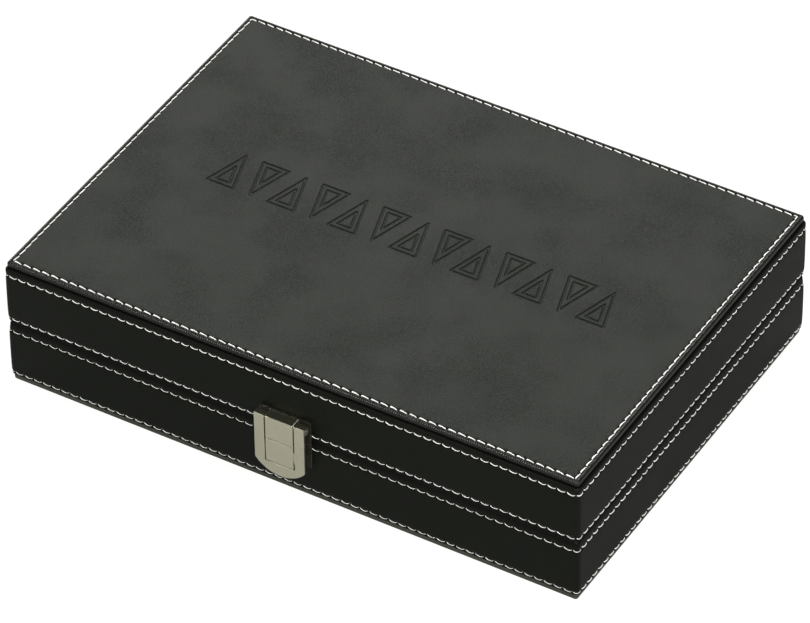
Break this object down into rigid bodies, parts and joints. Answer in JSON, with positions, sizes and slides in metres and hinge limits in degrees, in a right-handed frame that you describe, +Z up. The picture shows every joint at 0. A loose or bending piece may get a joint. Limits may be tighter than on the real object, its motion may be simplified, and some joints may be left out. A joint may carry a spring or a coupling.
{
  "type": "magnetic backgammon set",
  "caption": "Flat leather-covered case with a snap latch that opens on back hinges into a magnetic backgammon board with checkers, dice, doubling cube and dice cups",
  "frame": {"origin": "middle of the base case underside, on the surface that it stands on; the latch and the hinge knuckles stand out to the front and back of it", "axes": "+X to the right along the long side as seen from the front, -Y is the front with the latch, +Y the back with the hinges, +Z up"},
  "size_m": [0.25, 0.1852, 0.0586],
  "materials": {
    "black_leather": "fine grain, satin",
    "fibreboard": "raw fibreboard",
    "lining_cloth": "short black flock",
    "sheet_steel": "zinc plated",
    "field_cloth": "green felt",
    "points_dark": "dark red smooth leather",
    "points_light": "cream smooth leather",
    "divider_leather": "fine grain, satin",
    "hinge_nickel": "nickel plated",
    "latch_nickel": "satin nickel plated",
    "checkers_light": "moulded, satin gloss",
    "checkers_dark": "moulded, satin gloss",
    "magnet": "nickel plated magnet",
    "dice_light": "gloss",
    "dice_dark": "gloss",
    "doubling_cube": "gloss",
    "cup_leather": "fine grain, satin",
    "cup_cloth": "green felt"
  },
  "bodies": {
    "base": {"base_back_wall": "fibreboard", "base_bottom_board": "fibreboard", "base_bottom_cover": "black_leather", "base_divider": "divider_leather", "base_end_walls": "fibreboard", "base_field": "field_cloth", "base_front_wall": "fibreboard", "base_hinge_leaves": "hinge_nickel", "base_hinge_screws": "hinge_nickel", "base_inner_lining": "lining_cloth", "base_points_dark": "points_dark", "base_points_light": "points_light", "base_side_cover": "black_leather", "base_steel_sheet": "sheet_steel", "hinge_pins": "hinge_nickel", "latch_base_plate": "latch_nickel", "latch_lower_block": "latch_nickel", "latch_base_nails": "latch_nickel"},
    "lid": {"lid_back_wall": "fibreboard", "lid_divider": "divider_leather", "lid_end_walls": "fibreboard", "lid_field": "field_cloth", "lid_front_wall": "fibreboard", "lid_hinge_leaves": "hinge_nickel", "lid_hinge_screws": "hinge_nickel", "lid_inner_lining": "lining_cloth", "lid_points_dark": "points_dark", "lid_points_light": "points_light", "lid_side_cover": "black_leather", "lid_steel_sheet": "sheet_steel", "lid_top_board": "fibreboard", "lid_top_cover": "black_leather", "latch_lid_plate": "latch_nickel", "latch_upper_block": "latch_nickel", "latch_pin": "latch_nickel", "latch_lid_nails": "latch_nickel"},
    "latch_flap": {"latch_flap": "latch_nickel"},
    "light_checkers_on_point_6": {"checkers_point_6": "checkers_light", "magnets_point_6": "magnet"},
    "dark_checkers_on_point_1": {"checkers_point_1": "checkers_dark", "magnets_point_1": "magnet"},
    "dark_checkers_on_point_19": {"checkers_point_19": "checkers_dark", "magnets_point_19": "magnet"},
    "light_checkers_on_point_24": {"checkers_point_24": "checkers_light", "magnets_point_24": "magnet"},
    "light_checkers_on_point_8": {"checkers_point_8": "checkers_light", "magnets_point_8": "magnet"},
    "dark_checkers_on_point_12": {"checkers_point_12": "checkers_dark", "magnets_point_12": "magnet"},
    "dark_checkers_on_point_17": {"checkers_point_17": "checkers_dark", "magnets_point_17": "magnet"},
    "light_checkers_on_point_13": {"checkers_point_13": "checkers_light", "magnets_point_13": "magnet"},
    "dice_light": {"dice_light": "dice_light"},
    "dice_dark": {"dice_dark": "dice_dark"},
    "doubling_cube": {"doubling_cube": "doubling_cube"},
    "dice_cup_left": {"dice_cup_left": "cup_leather", "dice_cup_lining_left": "cup_cloth"},
    "dice_cup_right": {"dice_cup_right": "cup_leather", "dice_cup_lining_right": "cup_cloth"}
  },
  "joints": [
    {"name": "lid_hinge", "type": "hinge", "parent": "base", "child": "lid", "pos_m": [0, 0.0891, 0.0293], "axis": [-1, 0, 0], "range_deg": [0, 180]},
    {"name": "latch_flap_pivot", "type": "hinge", "parent": "lid", "child": "latch_flap", "pos_m": [0, -0.0919, 0.03635], "axis": [-1, 0, 0], "range_deg": [0, 110]},
    {"name": "lift_checkers_point_6", "type": "slide", "parent": "base", "child": "light_checkers_on_point_6", "axis": [0, 0, 1], "range_m": [0, 0.024]},
    {"name": "lift_checkers_point_1", "type": "slide", "parent": "base", "child": "dark_checkers_on_point_1", "axis": [0, 0, 1], "range_m": [0, 0.024]},
    {"name": "lift_checkers_point_19", "type": "slide", "parent": "base", "child": "dark_checkers_on_point_19", "axis": [0, 0, 1], "range_m": [0, 0.024]},
    {"name": "lift_checkers_point_24", "type": "slide", "parent": "base", "child": "light_checkers_on_point_24", "axis": [0, 0, 1], "range_m": [0, 0.024]},
    {"name": "lift_checkers_point_8", "type": "slide", "parent": "lid", "child": "light_checkers_on_point_8", "axis": [0, 0, -1], "range_m": [0, 0.024]},
    {"name": "lift_checkers_point_12", "type": "slide", "parent": "lid", "child": "dark_checkers_on_point_12", "axis": [0, 0, -1], "range_m": [0, 0.024]},
    {"name": "lift_checkers_point_17", "type": "slide", "parent": "lid", "child": "dark_checkers_on_point_17", "axis": [0, 0, -1], "range_m": [0, 0.024]},
    {"name": "lift_checkers_point_13", "type": "slide", "parent": "lid", "child": "light_checkers_on_point_13", "axis": [0, 0, -1], "range_m": [0, 0.024]},
    {"name": "lift_dice_light", "type": "slide", "parent": "base", "child": "dice_light", "axis": [0, 0, 1], "range_m": [0, 0.024]},
    {"name": "lift_dice_dark", "type": "slide", "parent": "base", "child": "dice_dark", "axis": [0, 0, 1], "range_m": [0, 0.024]},
    {"name": "lift_doubling_cube", "type": "slide", "parent": "base", "child": "doubling_cube", "axis": [0, 0, 1], "range_m": [0, 0.024]},
    {"name": "lift_dice_cup_left", "type": "slide", "parent": "base", "child": "dice_cup_left", "axis": [0, 0, 1], "range_m": [0, 0.0125]},
    {"name": "lift_dice_cup_right", "type": "slide", "parent": "base", "child": "dice_cup_right", "axis": [0, 0, 1], "range_m": [0, 0.0125]}
  ]
}
